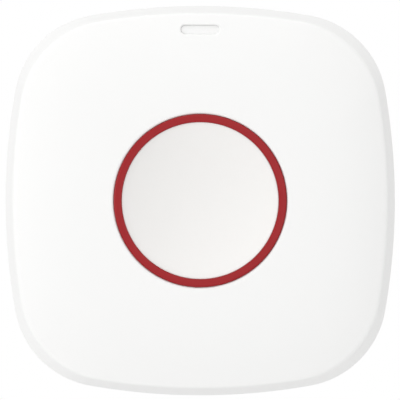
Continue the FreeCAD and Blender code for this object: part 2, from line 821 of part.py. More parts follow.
def make_switch():
    """Long-travel push switch: moulded body, metal top plate, plunger and terminals."""
    half = size("switch_half")
    middle = as_dim(0.0)
    plate_back = SWITCH_FRONT - size("switch_plate")
    hole = size("plunger_radius") + size("plunger_gap")
    plunger_back = SWITCH_FRONT - size("plunger_depth")
    well_floor = plunger_back - size("press_travel") - size("plunger_floor_gap")

    def square(sketch):
        draw_box(sketch, middle, middle, half, half)

    housing = new_body("button_switch_body")
    pad(housing, "block", BOARD_FRONT, plate_back, square)
    pocket(housing, "well", plate_back, well_floor, lambda sketch: draw_circle(sketch, 0.0, 0.0, hole))
    plate = new_body("button_switch_plate")
    pad(plate, "sheet", plate_back, SWITCH_FRONT, square)
    pocket(plate, "opening", SWITCH_FRONT, plate_back, lambda sketch: draw_circle(sketch, 0.0, 0.0, hole))
    plunger = new_body("button_switch_plunger")
    radius = size("plunger_radius")
    plunger_front = WEB_BACK - size("post_length")
    pad(plunger, "stem", plunger_back, plunger_front, lambda sketch: draw_circle(sketch, 0.0, 0.0, radius))
    terminals = new_body("button_switch_terminals", several=True)
    reach, width = half / 7, half / 12

    def feet(sketch):
        for x, y in corners_of(1):
            draw_box(sketch, (half + reach) * x, half * (0.4 * y), reach, width)

    pad(terminals, "feet", BOARD_FRONT, BOARD_FRONT + size("switch_plate"), feet)
    return [housing, plate, plunger, terminals]


def simple_block(name, x, y, half_length, half_width, low, high, rounding=None):
    """Rectangular piece, its upright edges rounded where a radius is given."""
    body = new_body(name)
    pad(body, "block", low, high, lambda sketch: draw_box(sketch, x, y, half_length, half_width))
    if rounding is not None:
        doc.recompute()
        base = body.Tip
        edges = [
            f"Edge{index}"
            for index, edge in enumerate(base.Shape.Edges, 1)
            if abs(edge.tangentAt(edge.FirstParameter).z) > 0.99
        ]
        feature = body.newObject("PartDesign::Fillet", "rounding")
        feature.Base = (base, edges)
        feature.setExpression("Radius", rounding.formula)
        finish_feature(body, feature)
    return body


def make_board_parts():
    """Indicator, radio can, controller, crystal, capacitor and the small chips."""
    middle = as_dim(0.0)
    led_y = WINDOW_UP - size("guide_foot_reach") / 2
    led = simple_block("indicator_led", middle, led_y, size("led_half_length"), size("led_half_width"),
                       BOARD_FRONT, BOARD_FRONT + size("led_height"))
    can_length, can_width = size("shield_half_length"), size("shield_half_width")
    can_front = BOARD_FRONT + size("shield_height")
    can = simple_block("radio_can", middle, -LANE, can_length, can_width, BOARD_FRONT, can_front,
                       can_width / 8)
    chip_half = size("chip_half")
    chip_y = chip_half * 1.6
    chip = new_body("controller_chip")
    pitch, lead = chip_half / 5, chip_half / 16

    def leads(sketch):
        for step in range(-3, 4):
            draw_box(sketch, LANE, chip_y + pitch * step, chip_half * 1.25, lead)

    pad(chip, "package", BOARD_FRONT, BOARD_FRONT + size("chip_height"),
        lambda sketch: draw_box(sketch, LANE, chip_y, chip_half, chip_half))
    pad(chip, "leads", BOARD_FRONT, BOARD_FRONT + size("chip_height") / 4, leads)
    crystal_width = size("crystal_half_width")
    crystal = simple_block("crystal", LANE, -crystal_width, crystal_width,
                           size("crystal_half_length"), BOARD_FRONT,
                           BOARD_FRONT + size("crystal_height"), crystal_width / 3)
    capacitor_length = size("capacitor_half_length")
    capacitor = simple_block("reservoir_capacitor", capacitor_length * 3.5, LANE * 0.94,
                             capacitor_length, size("capacitor_half_width"), BOARD_FRONT,
                             BOARD_FRONT + size("capacitor_height"))
    chips = new_body("small_components", several=True)
    grain = chip_half / 4

    def grains(sketch):
        for column in range(2):
            x = LANE * 0.6 + grain * (2.4 * column - 1.2)
            for line in range(3):
                draw_box(sketch, x, grain * (1.6 * (line - 1)) - LANE, grain * 0.9, grain * 0.5)
        for column in range(4):
            draw_box(sketch, -capacitor_length * 4 - grain * 2.4 * column + grain * 4, LANE * 0.95,
                     grain * 0.5, grain * 0.9)

    pad(chips, "grains", BOARD_FRONT, BOARD_FRONT + size("chip_height") * 0.6, grains)
    return [led, can, chip, crystal, capacitor, chips]


def screw_profile(head, head_height, shank, length, seat, sense):
    """Half section of a pan-head screw whose head lies behind (-1) or before (+1) its seat."""
    top = seat + head_height * sense
    tip = seat - length * sense
    taper = tip + shank * sense
    return [(0.0, tip), (shank * 0.4, tip), (shank, taper), (shank, seat), (head, seat),
            (head, seat + head_height * (0.7 * sense)), (head * 0.8, top), (0.0, top)]


def make_screws():
    """Case screws, put in from the back, and board screws, put in from the front."""
    place = CASE_SCREW
    case = new_body("case_screws", several=True)
    head, height = size("case_screw_head"), size("case_screw_head_height")
    seat = size("case_screw_seat")
    shank = revolve(case, "screw", screw_profile(head, height, size("case_screw_radius"),
                                                 size("case_screw_length"), seat, -1), place, place)
    cross = pocket(case, "cross", seat - height / 2, seat - height,
                   lambda sketch: draw_plus(sketch, place, place, head * 0.55, head * 0.14))
    polar_copies(case, "screws", [shank, cross], 4)
    board = new_body("board_screws", several=True)
    head, height = size("board_screw_head"), size("board_screw_head_height")
    profile = screw_profile(head, height, size("board_screw_radius"), size("board_screw_length"),
                            BOARD_FRONT, 1)
    for index, (x, y) in enumerate(BOARD_SCREWS):
        revolve(board, f"screw_{index}", profile, x, y)

    def crosses(sketch):
        for x, y in BOARD_SCREWS:
            draw_plus(sketch, x, y, head * 0.55, head * 0.14)

    pocket(board, "crosses", BOARD_FRONT + height, BOARD_FRONT + height / 2, crosses)
    return [case, board]


def make_tamper_switch():
    """Switch behind the board whose plunger feels the ramp in the wall plate."""
    x, y = -LANE, size("tamper_height_up")
    half, radius = size("tamper_half"), size("tamper_radius")
    body_back = BOARD_BACK - size("tamper_body_height")
    tip = PLATE_FRONT + size("tamper_tip_gap")
    inner_end = body_back + size("tamper_depth")
    housing = new_body("tamper_switch_body")
    pad(housing, "block", body_back, BOARD_BACK, lambda sketch: draw_box(sketch, x, y, half, half))
    pocket(housing, "well", inner_end, body_back,
           lambda sketch: draw_circle(sketch, x, y, radius + size("plunger_gap")))
    plunger = new_body("tamper_plunger")
    tip_radius = size("tamper_tip_radius")
    flare = tip + (radius - tip_radius)
    revolve(plunger, "stem", [
        (0.0, tip), (tip_radius, tip), (radius, flare), (radius, inner_end), (0.0, inner_end)], x, y)
    return [housing, plunger]


def make_battery():
    """Coin cell and the two contacts that press on it."""
    cell = new_body("battery_cell")
    radius, thickness = size("cell_radius"), size("cell_thickness")
    step = thickness / 8
    revolve(cell, "can", [
        (0.0, DOOR_FRONT), (radius, DOOR_FRONT), (radius, CELL_FRONT - step * 2),
        (radius - step, CELL_FRONT - step), (radius - step * 2.5, CELL_FRONT - step),
        (radius - step * 2.5, CELL_FRONT), (0.0, CELL_FRONT)])
    metal, half_width = size("contact_thickness"), size("contact_half_width")
    reach = size("contact_reach")

    def strip(name, points):
        body = new_body(name)
        sketch = upright_sketch(body, "strip_sketch")
        draw_polygon(sketch, points)
        feature = body.newObject("PartDesign::Pad", "strip")
        feature.Profile = sketch
        feature.Midplane = True
        feature.setExpression("Length", (half_width * 2).formula)
        return finish_feature(body, feature) and body

    arm_end = BOARD_BACK - size("contact_drop")
    positive = strip("battery_contact_positive", [
        (radius, arm_end), (radius + metal, arm_end), (radius + metal, BOARD_BACK - metal),
        (radius + reach, BOARD_BACK - metal), (radius + reach, BOARD_BACK), (radius, BOARD_BACK)])
    inner, rise = reach * 0.3, metal * 1.5
    negative = strip("battery_contact_negative", [
        (-reach * 2, BOARD_BACK - metal), (-reach, BOARD_BACK - metal), (inner, CELL_FRONT),
        (inner + metal * 5, CELL_FRONT + rise), (inner + metal * 5, CELL_FRONT + rise + metal),
        (inner, CELL_FRONT + metal), (-reach, BOARD_BACK), (-reach * 2, BOARD_BACK)])
    return [cell, positive, negative]


def make_battery_door():
    """Round door with a coin slot and three bayonet lugs, and the seal behind its edge."""
    body = new_body("battery_door")
    radius = size("door_radius")
    revolve(body, "disc", [(0.0, FLOOR_BACK), (radius, FLOOR_BACK), (radius, DOOR_FRONT), (0.0, DOOR_FRONT)])
    lug_back = DOOR_FRONT - size("lug_thickness")
    root_radius = radius - size("lug_reach")
    lug = revolve(body, "lug", ring_section(root_radius, LUG_RADIUS, lug_back, DOOR_FRONT),
                  angle=size("lug_angle"))
    polar_copies(body, "lugs", [lug], 3)
    slot_floor = FLOOR_BACK + size("coin_slot_depth")
    pocket(body, "coin_slot", slot_floor, FLOOR_BACK,
           lambda sketch: draw_box(sketch, as_dim(0.0), as_dim(0.0),
                                   size("coin_slot_half_length"), size("coin_slot_half_width")))
    wire, depth = size("door_seal_wire"), size("door_seal_groove")
    seal_radius = (CELL_POCKET + BORE_RADIUS) / 2
    groove_floor = DOOR_FRONT - depth
    revolve(body, "seal_groove", ring_section(seal_radius - wire / 2, seal_radius + wire / 2,
                                              groove_floor, DOOR_FRONT + THROUGH), kind="Groove")
    seal = new_body("battery_door_seal")
    sketch = upright_sketch(seal, "seal_section")
    draw_circle(sketch, seal_radius, groove_floor + wire / 2, wire / 2)
    turned(seal, "ring", "Revolution", sketch)
    return [body, seal]


def hook_places():
    """Where each hook's post ends at its upper side: (x, y)."""
    levels = (WELL_RADIUS + size("hook_upper"), -(WELL_RADIUS + size("hook_lower")))
    return [(size("hook_place") * side, level) for level in levels for side in (1, -1)]


def make_rear_housing():
    """Rear shell: floor, battery well with bayonet tracks, pillars, board bosses and hook slots."""
    body = new_body("rear_housing")
    bevel, rim = size("parting_bevel"), size("rim_gap")
    wall = [(REAR_RIM.inset(bevel), rim), (REAR_RIM, rim + bevel), (CASE, PARTING - bevel)]
    loft(body, "side_wall", "AdditiveLoft", wall + [(CASE.inset(bevel), PARTING)], True)
    pocket(body, "interior", PARTING, FLOOR_FRONT, lambda sketch: draw_outline(sketch, REAR_INNER))
    pocket(body, "plate_recess", FLOOR_BACK, 0.0, lambda sketch: draw_outline(sketch, RECESS))
    pad(body, "well_block", FLOOR_FRONT, CELL_FRONT, circles([(0.0, 0.0)], WELL_RADIUS))
    revolve(body, "well", [
        (0.0, FLOOR_BACK - THROUGH), (BORE_RADIUS, FLOOR_BACK - THROUGH), (BORE_RADIUS, WELL_SHOULDER),
        (CELL_POCKET, WELL_SHOULDER), (CELL_POCKET, CELL_FRONT + THROUGH), (0.0, CELL_FRONT + THROUGH),
    ], kind="Groove")
    root_radius = size("door_radius") - size("lug_reach")
    lip_front = DOOR_FRONT - size("lug_thickness") - size("door_gap")
    turn, lug, stop = size("door_turn"), size("lug_angle"), size("stop_angle")
    track = revolve(body, "track", ring_section(root_radius, TRACK_RADIUS, lip_front, WELL_SHOULDER),
                    kind="Groove", turn=-stop, angle=turn + lug + stop * 2)
    polar_copies(body, "tracks", [track], 3)
    entry = revolve(body, "entry", ring_section(root_radius, TRACK_RADIUS, FLOOR_BACK - THROUGH,
                                                lip_front + size("door_gap")),
                    kind="Groove", turn=turn - stop, angle=lug + stop * 2)
    polar_copies(body, "entries", [entry], 3)
    notch_floor = BOARD_BACK - size("contact_drop") - size("door_gap") * 3

    def contact_notch(sketch):
        middle = size("cell_radius") + WELL_RADIUS / 2
        draw_box(sketch, middle, as_dim(0.0), WELL_RADIUS / 2, size("contact_half_width") + size("cell_gap"))

    pocket(body, "contact_notch", CELL_FRONT + THROUGH, notch_floor, contact_notch)
    screw, seat = CASE_SCREW, size("case_screw_seat")

    corners = corners_of(screw)
    pad(body, "pillars", FLOOR_FRONT, PARTING, circles(corners, size("case_pillar_radius")))
    pocket(body, "pillar_holes", PARTING, FLOOR_BACK - THROUGH,
           circles(corners, size("case_screw_radius") + size("screw_hole_gap")))
    pocket(body, "counterbores", seat, FLOOR_BACK - THROUGH,
           circles(corners, size("case_screw_head") + size("counterbore_gap")))
    pad(body, "board_bosses", FLOOR_FRONT, BOARD_BACK, circles(BOARD_SCREWS, size("board_boss_radius")))
    pilot_end = BOARD_FRONT - size("board_screw_length") - size("thread_relief") / 2
    pocket(body, "board_pilots", BOARD_BACK, pilot_end,
           circles(BOARD_SCREWS, size("board_screw_radius") + size("thread_gap")))

    def hook_slots(sketch):
        gap, travel = size("hook_side_gap"), size("slide_travel")
        height = size("hook_post") + travel + gap
        for x, y in hook_places():
            draw_box(sketch, x, y - height / 2, size("hook_half_width") + gap, height / 2)

    pocket(body, "hook_slots", FLOOR_FRONT, FLOOR_BACK - THROUGH, hook_slots)
    tamper = [(-LANE, size("tamper_height_up"))]
    pocket(body, "tamper_hole", FLOOR_FRONT, FLOOR_BACK - THROUGH,
           circles(tamper, size("tamper_radius") + size("tamper_hole_gap")))

    def seal_groove(sketch):
        half_groove = size("seal_width") / 2 + size("seal_side_gap")
        draw_outline(sketch, SEAL_LINE.inset(-half_groove))
        draw_outline(sketch, SEAL_LINE.inset(half_groove))

    pocket(body, "seal_groove", PARTING, PARTING - size("seal_height"), seal_groove)
    return body


def make_case_seal():
    """Gasket in the groove of the rear shell's rim, under the front shell's wall."""
    body = new_body("case_seal")

    def draw(sketch):
        draw_outline(sketch, SEAL_LINE.inset(-size("seal_width") / 2))
        draw_outline(sketch, SEAL_LINE.inset(size("seal_width") / 2))

    pad(body, "band", PARTING - size("seal_height"), PARTING, draw)
    return body


def pad_places():
    """Middles of the two adhesive pads: above and below the window of the wall plate."""
    upper = (PLATE_WINDOW + PLATE.half) / 2
    lower = (PLATE_WINDOW + PLATE.half - size("slide_travel")) / 2
    return [upper, -lower]


def make_wall_plate():
    """Plate screwed or stuck to the wall: four hooks, a window, two countersunk holes and a ramp."""
    body = new_body("wall_plate")
    pad(body, "panel", 0.0, PLATE_FRONT, lambda sketch: draw_outline(sketch, PLATE))

    def trim(sketch):
        reach = PLATE.half * 1.5
        draw_box(sketch, as_dim(0.0), as_dim(0.0), reach, reach)
        draw_outline(sketch, PLATE.shifted(size("slide_travel")))

    pocket(body, "slide_room", PLATE_FRONT, 0.0, trim)
    pocket(body, "window", PLATE_FRONT, 0.0,
           lambda sketch: draw_circle(sketch, 0.0, 0.0, PLATE_WINDOW))
    hole, cone = size("plate_hole_radius"), size("plate_countersink")
    for side, name in ((1, "right"), (-1, "left")):
        revolve(body, f"screw_hole_{name}", [
            (0.0, -THROUGH), (hole, -THROUGH), (hole, PLATE_FRONT - (cone - hole)), (cone, PLATE_FRONT),
            (cone, PLATE_FRONT + THROUGH), (0.0, PLATE_FRONT + THROUGH),
        ], x=PLATE_HOLE * side, kind="Groove")
    lip_back = FLOOR_FRONT + size("plate_gap")
    lip_front = lip_back + size("hook_thickness")

    def posts(sketch):
        half = size("hook_post") / 2
        for x, y in hook_places():
            draw_box(sketch, x, y - half, size("hook_half_width"), half)

    def lips(sketch):
        half = (size("hook_post") + size("hook_reach")) / 2
        for x, y in hook_places():
            draw_box(sketch, x, y - size("hook_post") + half, size("hook_half_width"), half)

    pad(body, "hook_posts", PLATE_FRONT, lip_back, posts)
    pad(body, "hook_lips", lip_back, lip_front, lips)
    x, y, tip = -LANE, size("tamper_height_up"), size("tamper_tip_radius")
    ramp_start = y - tip
    run = size("slide_travel") + tip + size("tamper_radius") + size("tamper_hole_gap")
    sketch = sketch_on(body, "ramp_sketch", "YZ_Plane", (0.0, 0.0, x))
    top, end = PLATE_FRONT + THROUGH / 10, ramp_start + run
    draw_polygon(sketch, [
        (ramp_start, PLATE_FRONT), (end, PLATE_FRONT - run * size("tamper_ratio")), (end, top),
        (ramp_start, top)])
    ramp = body.newObject("PartDesign::Pocket", "ramp")
    ramp.Profile = sketch
    ramp.Midplane = True
    ramp.setExpression("Length", ((size("tamper_radius") + size("tamper_hole_gap")) * 2).formula)
    finish_feature(body, ramp)

    def pad_recesses(sketch):
        for middle in pad_places():
            draw_box(sketch, as_dim(0.0), middle, size("pad_half_length") + size("pad_gap"),
                     size("pad_half_width") + size("pad_gap"))

    pocket(body, "pad_recesses", size("pad_thickness"), 0.0, pad_recesses)
    return body


def make_adhesive_pads():
    """Two foam pads that stick the plate to the wall where no screws are used."""
    body = new_body("adhesive_pads", several=True)

    def draw(sketch):
        for middle in pad_places():
            draw_box(sketch, as_dim(0.0), middle, size("pad_half_length"), size("pad_half_width"))

    pad(body, "pads", 0.0, size("pad_thickness"), draw)
    return body


def check_document():
    """Stops if a feature failed, if a cut or an addition did nothing, or if a piece is not sound."""
    for item in doc.Objects:
        if "Invalid" in item.State or "Error" in item.State:
            raise RuntimeError(f"{item.Name} failed: {item.State}")
        if item.TypeId == "Sketcher::SketchObject" and not item.FullyConstrained:
            raise RuntimeError(f"{item.Name} is not fully constrained")
        base = getattr(item, "BaseFeature", None)
        if base is not None and item.TypeId != "PartDesign::Body":
            if abs(item.Shape.Volume - base.Shape.Volume) < 1e-4:
                raise RuntimeError(f"{item.Name} changed nothing")


def write_pieces(bodies):
    """Writes each piece to a file of its own, after a last look at its shape."""
    os.makedirs("parts", exist_ok=True)
    for body in bodies:
        shape = body.Shape
        if shape.isNull() or not shape.isValid():
            raise RuntimeError(f"{body.Label} has no sound shape")
        if len(shape.Solids) != 1 and not body.AllowCompound:
            raise RuntimeError(f"{body.Label} fell into {len(shape.Solids)} solids")
        shape.exportStep(f"parts/{body.Label}.step")
        print(f"{body.Label}: {len(shape.Solids)} solid(s), {shape.Volume:.1f} mm3")


pieces = [
    make_front_cover(),
    make_light_guide(),
    make_button_carrier(),
    make_button_cap(),
    make_return_spring(),
    make_circuit_board(),
    *make_switch(),
    *make_board_parts(),
    make_antenna(),
    *make_screws(),
    *make_tamper_switch(),
    *make_battery(),
    *make_battery_door(),
    make_rear_housing(),
    make_case_seal(),
    make_wall_plate(),
    make_adhesive_pads(),
]
doc.recompute()
check_document()
write_pieces(pieces)
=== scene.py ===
"""Looks of the wireless panic button: its shell, push button, indicator, fixings and studio."""

import logging
import math
from collections.abc import Iterable, Sequence
from dataclasses import dataclass, field
from enum import Enum

import bmesh
import bpy
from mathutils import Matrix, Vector


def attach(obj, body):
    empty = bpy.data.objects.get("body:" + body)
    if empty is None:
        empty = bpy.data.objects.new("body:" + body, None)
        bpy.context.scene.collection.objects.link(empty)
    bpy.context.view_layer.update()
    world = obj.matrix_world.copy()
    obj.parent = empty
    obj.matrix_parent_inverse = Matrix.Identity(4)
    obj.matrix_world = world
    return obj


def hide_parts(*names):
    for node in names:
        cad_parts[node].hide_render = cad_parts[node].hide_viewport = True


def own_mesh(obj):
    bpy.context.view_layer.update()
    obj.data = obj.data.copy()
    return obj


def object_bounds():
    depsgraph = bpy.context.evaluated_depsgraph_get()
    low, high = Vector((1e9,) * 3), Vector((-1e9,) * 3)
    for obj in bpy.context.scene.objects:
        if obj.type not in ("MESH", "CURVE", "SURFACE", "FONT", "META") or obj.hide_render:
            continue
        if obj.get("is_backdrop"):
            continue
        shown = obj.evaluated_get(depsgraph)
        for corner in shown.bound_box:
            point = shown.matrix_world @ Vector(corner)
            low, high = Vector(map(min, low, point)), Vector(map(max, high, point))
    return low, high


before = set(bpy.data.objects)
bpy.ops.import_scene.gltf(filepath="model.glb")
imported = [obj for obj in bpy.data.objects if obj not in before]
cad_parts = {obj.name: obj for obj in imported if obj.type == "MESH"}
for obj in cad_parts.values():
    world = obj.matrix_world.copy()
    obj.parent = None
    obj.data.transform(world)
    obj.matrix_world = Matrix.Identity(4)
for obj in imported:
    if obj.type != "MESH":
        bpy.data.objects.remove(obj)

LOG = logging.getLogger("panic_button")
MM = 0.001
SIDE_STEPS = 28
CORNER_STEPS = 36
ROUND_STEPS = 256
SMOOTH_ANGLE = 32.0
KEPT_SMOOTH_ANGLE = 28.0
COIL_SMOOTH_ANGLE = 50.0
Loop = list[Vector]


class Quarter(Enum):
    """The four sides of the rounded square, by the angle of each side's middle."""

    RIGHT = 0.0
    TOP = math.pi / 2
    LEFT = math.pi
    BOTTOM = 3 * math.pi / 2


def stand(x: float, up: float, level: float) -> Vector:
    """Point of the standing object, from millimetres across, up and out from the wall."""
    return Vector((x * MM, -level * MM, up * MM))


@dataclass(frozen=True)
class Outline:
    """Rounded square of four bowed sides and four tangent corner arcs, in millimetres."""

    half: float
    side: float
    corner: float

    def inset(self, distance: float) -> "Outline":
        """The outline a distance further in."""
        return Outline(self.half - distance, self.side - distance, self.corner - distance)

    def corner_centre(self) -> float:
        """How far the corner arcs' centres lie from the middle, along each axis."""
        offset = self.half - self.side
        reach = self.side - self.corner
        return (offset + math.sqrt(2 * reach * reach - offset * offset)) / 2

    def diagonal(self) -> float:
        """Distance from the middle to the furthest point of a corner."""
        return self.corner_centre() * math.sqrt(2) + self.corner

    def loop(self, level: float) -> Loop:
        """Points round the outline at a level, the same share of each arc in every outline.

        Args:
            level: Distance out from the wall, in millimetres.

        Returns:
            The points, anticlockwise as seen from the front.
        """
        offset = self.half - self.side
        centre = self.corner_centre()
        swing = math.atan2(centre, centre - offset)
        points: Loop = []
        for quarter in Quarter:
            turn = quarter.value
            for step in range(SIDE_STEPS):
                angle = turn + swing * (2 * step / SIDE_STEPS - 1)
                across = offset * math.cos(turn) + self.side * math.cos(angle)
                up = offset * math.sin(turn) + self.side * math.sin(angle)
                points.append(stand(across, up, level))
            middle = turn + math.pi / 4
            for step in range(CORNER_STEPS):
                angle = turn + swing + (math.pi / 2 - 2 * swing) * step / CORNER_STEPS
                across = centre * math.sqrt(2) * math.cos(middle) + self.corner * math.cos(angle)
                up = centre * math.sqrt(2) * math.sin(middle) + self.corner * math.sin(angle)
                points.append(stand(across, up, level))
        return points


def circle_like(guide: Loop, radius: float, level: float) -> Loop:
    """Circle whose points lie in the same directions as those of a guide loop.

    Args:
        guide: Loop whose points give the directions.
        radius: Radius in millimetres.
        level: Distance out from the wall, in millimetres.

    Returns:
        The circle's points.
    """
    angles = (math.atan2(point.z, point.x) for point in guide)
    return [stand(radius * math.cos(angle), radius * math.sin(angle), level) for angle in angles]


def rounded(before: Loop, corner: Loop, after: Loop, weight: float, steps: int) -> list[Loop]:
    """Loops that turn a crease into a smooth arc between two neighbouring loops.

    Args:
        before: Where the arc starts.
        corner: The crease that the arc cuts off.
        after: Where the arc ends.
        weight: Cosine of half the angle that the surface turns by.
        steps: Number of spans in the arc.

    Returns:
        The loops of the arc, both ends among them.
    """
    loops = []
    for step in range(steps + 1):
        share = step / steps
        first, middle, last = (1 - share) ** 2, 2 * weight * share * (1 - share), share * share
        total = first + middle + last
        loops.append([
            (a * first + b * middle + c * last) / total for a, b, c in zip(before, corner, after)
        ])
    return loops


def between(start: Loop, end: Loop, share: float) -> Loop:
    """Loop at a share of the straight way from one loop to another."""
    return [a.lerp(b, share) for a, b in zip(start, end)]


def smooth(mesh: bpy.types.Mesh, crease: float = SMOOTH_ANGLE) -> None:
    """Shades a mesh smooth, but for edges that turn by more than an angle in degrees."""
    mesh.shade_smooth()
    mesh.set_sharp_from_angle(angle=math.radians(crease))


def loop_centre(loop: Loop) -> Vector:
    """Mean of a loop's points."""
    return sum(loop, Vector()) / len(loop)


def finish_mesh(name: str, shape: bmesh.types.BMesh,
                crease: float = SMOOTH_ANGLE) -> bpy.types.Object:
    """Turns a bmesh into an object that is smooth but for its sharp edges.

    Args:
        name: The piece's name.
        shape: The mesh, which is freed.
        crease: Angle in degrees above which an edge stays sharp.

    Returns:
        The new object.
    """
    bmesh.ops.recalc_face_normals(shape, faces=shape.faces)
    mesh = bpy.data.meshes.new(name)
    shape.to_mesh(mesh)
    shape.free()
    smooth(mesh, crease)
    piece = bpy.data.objects.new(name, mesh)
    bpy.context.scene.collection.objects.link(piece)
    return piece


def skin_into(shape: bmesh.types.BMesh, loops: Sequence[Loop], closed: bool = False) -> None:
    """Adds a skin through loops of equally many points; a loop of one point is a pole.

    Args:
        shape: The bmesh to add to.
        loops: The loops in order.
        closed: Whether the last loop is joined to the first.
    """
    rings = [[shape.verts.new(point) for point in loop] for loop in loops]
    pairs = list(zip(rings, rings[1:]))
    if closed:
        pairs.append((rings[-1], rings[0]))
    for ring, following in pairs:
        count = max(len(ring), len(following))
        for index in range(count):
            beside = (index + 1) % count
            if len(ring) == 1:
                shape.faces.new((ring[0], following[beside], following[index]))
            elif len(following) == 1:
                shape.faces.new((ring[index], ring[beside], following[0]))
            else:
                shape.faces.new((ring[index], ring[beside], following[beside], following[index]))


def turned_loops(profile: Iterable[tuple[float, float]], steps: int = ROUND_STEPS) -> list[Loop]:
    """Loops of a shape turned about the button's axis.

    Args:
        profile: Points of radius and level, in millimetres.
        steps: Number of points in each circle.

    Returns:
        One loop for each point of the profile, of one point where the radius is nought.
    """
    loops = []
    for radius, level in profile:
        if radius == 0.0:
            loops.append([stand(0.0, 0.0, level)])
            continue
        angles = (2 * math.pi * step / steps for step in range(steps))
        loops.append([stand(radius * math.cos(a), radius * math.sin(a), level) for a in angles])
    return loops


def arc(centre: tuple[float, float], radius: float, start: float, end: float,
        steps: int = 6) -> list[tuple[float, float]]:
    """Points of a profile along a circular arc.

    Args:
        centre: The arc's middle, as radius and level.
        radius: The arc's radius.
        start: First angle in degrees, from the direction of growing radius.
        end: Last angle in degrees.
        steps: Number of spans.

    Returns:
        The points, both ends among them.
    """
    angles = (math.radians(start + (end - start) * step / steps) for step in range(steps + 1))
    return [(centre[0] + radius * math.cos(a), centre[1] + radius * math.sin(a)) for a in angles]


class Value:
    """A number that a shader works out, with the usual signs of arithmetic."""

    def __init__(self, shader: "Shader", socket: bpy.types.NodeSocket) -> None:
        """Wraps a node's output socket."""
        self.shader = shader
        self.socket = socket

    def _join(self, operation: str, first: "Value | float", second: "Value | float") -> "Value":
        """Adds a Math node."""
        settings = {"operation": operation}
        return self.shader.value("ShaderNodeMath", settings, {0: first, 1: second})

    def __add__(self, other: "Value | float") -> "Value":
        """Sum."""
        return self._join("ADD", self, other)

    __radd__ = __add__

    def __sub__(self, other: "Value | float") -> "Value":
        """Difference."""
        return self._join("SUBTRACT", self, other)

    def __rsub__(self, other: "Value | float") -> "Value":
        """Difference from a number."""
        return self._join("SUBTRACT", other, self)

    def __mul__(self, other: "Value | float") -> "Value":
        """Product."""
        return self._join("MULTIPLY", self, other)

    __rmul__ = __mul__

    def larger(self, other: "Value | float") -> "Value":
        """The larger of two numbers."""
        return self._join("MAXIMUM", self, other)


class Shader:
    """The node tree of a material or of the world, with short ways to add to it."""

    def __init__(self, owner: bpy.types.Material | bpy.types.World) -> None:
        """Starts with the owner's tree emptied."""
        self.owner = owner
        owner.use_nodes = True
        self.tree = owner.node_tree
        self.tree.nodes.clear()

    def node(self, kind: str, settings: dict[str, object],
             inputs: dict[int | str, object]) -> bpy.types.Node:
        """Adds a node of any type.

        Args:
            kind: The node's type.
            settings: Its properties, set first.
            inputs: Values or links of its sockets.

        Returns:
            The node.
        """
        made = self.tree.nodes.new(kind)
        for key, setting in settings.items():
            setattr(made, key, setting)
        for key, given in inputs.items():
            if isinstance(given, Value):
                given = given.socket
            if isinstance(given, bpy.types.NodeSocket):
                self.tree.links.new(given, made.inputs[key])
            else:
                made.inputs[key].default_value = given
        return made

    def value(self, kind: str, settings: dict[str, object], inputs: dict[int | str, object],
              output: int | str = 0) -> Value:
        """Adds a node and gives one of its outputs as a number to reckon with."""
        return Value(self, self.node(kind, settings, inputs).outputs[output])

    def place(self) -> bpy.types.NodeSocket:
        """The point's own coordinates, in metres, which stay with the piece."""
        return self.node("ShaderNodeTexCoord", {}, {}).outputs["Object"]

    def noise(self, grain: float, detail: float = 2.0, roughness: float = 0.5,
              vector: bpy.types.NodeSocket | None = None) -> Value:
        """Cloudy noise.

        Args:
            grain: Width of its lumps in millimetres.
            detail: Number of finer layers.
            roughness: Strength of the finer layers.
            vector: Coordinates, or the piece's own where none are given.

        Returns:
            A number about a half.
        """
        inputs = {"Vector": vector or self.place(), "Scale": 1 / (grain * MM), "Detail": detail,
                  "Roughness": roughness}
        return self.value("ShaderNodeTexNoise", {"noise_dimensions": "3D"}, inputs, "Fac")

    def cells(self, grain: float) -> Value:
        """Distance to the nearest of many scattered points, for pits and specks."""
        inputs = {"Vector": self.place(), "Scale": 1 / (grain * MM)}
        return self.value("ShaderNodeTexVoronoi", {"feature": "F1"}, inputs, "Distance")

    def between(self, share: "Value", low: float, high: float) -> Value:
        """A number that runs from low to high as a share runs from nought to one."""
        return share * (high - low) + low

    def tint(self, share: "Value | float", first: Sequence[float],
             second: Sequence[float]) -> bpy.types.NodeSocket:
        """A colour between two, by a share."""
        mix = self.node("ShaderNodeMix", {"data_type": "RGBA"},
                        {0: share, 6: (*first, 1.0), 7: (*second, 1.0)})
        return mix.outputs[2]

    def shown(self) -> Value:
        """One where the camera looks, straight or through what is shiny or clear, else nought."""
        path = self.node("ShaderNodeLightPath", {}, {}).outputs
        camera, glossy = Value(self, path["Is Camera Ray"]), Value(self, path["Is Glossy Ray"])
        return camera.larger(glossy).larger(Value(self, path["Is Transmission Ray"]))

    def bump(self, height: Value, depth: float,
             under: bpy.types.NodeSocket | None = None) -> bpy.types.NodeSocket:
        """Surface relief.

        Args:
            height: Relief as a number from nought to one.
            depth: Its full height in millimetres.
            under: A coarser relief that it lies on.

        Returns:
            The normal.
        """
        inputs: dict[int | str, object] = {"Height": height, "Distance": depth * MM}
        if under is not None:
            inputs["Normal"] = under
        return self.node("ShaderNodeBump", {}, inputs).outputs["Normal"]

    def surface(self, **inputs: object) -> bpy.types.Material:
        """Ends the material with a Principled surface.

        Args:
            **inputs: Values or links by socket name, with _ for a space.

        Returns:
            The material.
        """
        named = {key.replace("_", " "): given for key, given in inputs.items()}
        shader = self.node("ShaderNodeBsdfPrincipled", {}, named)
        self.node("ShaderNodeOutputMaterial", {}, {"Surface": shader.outputs[0]})
        return self.owner


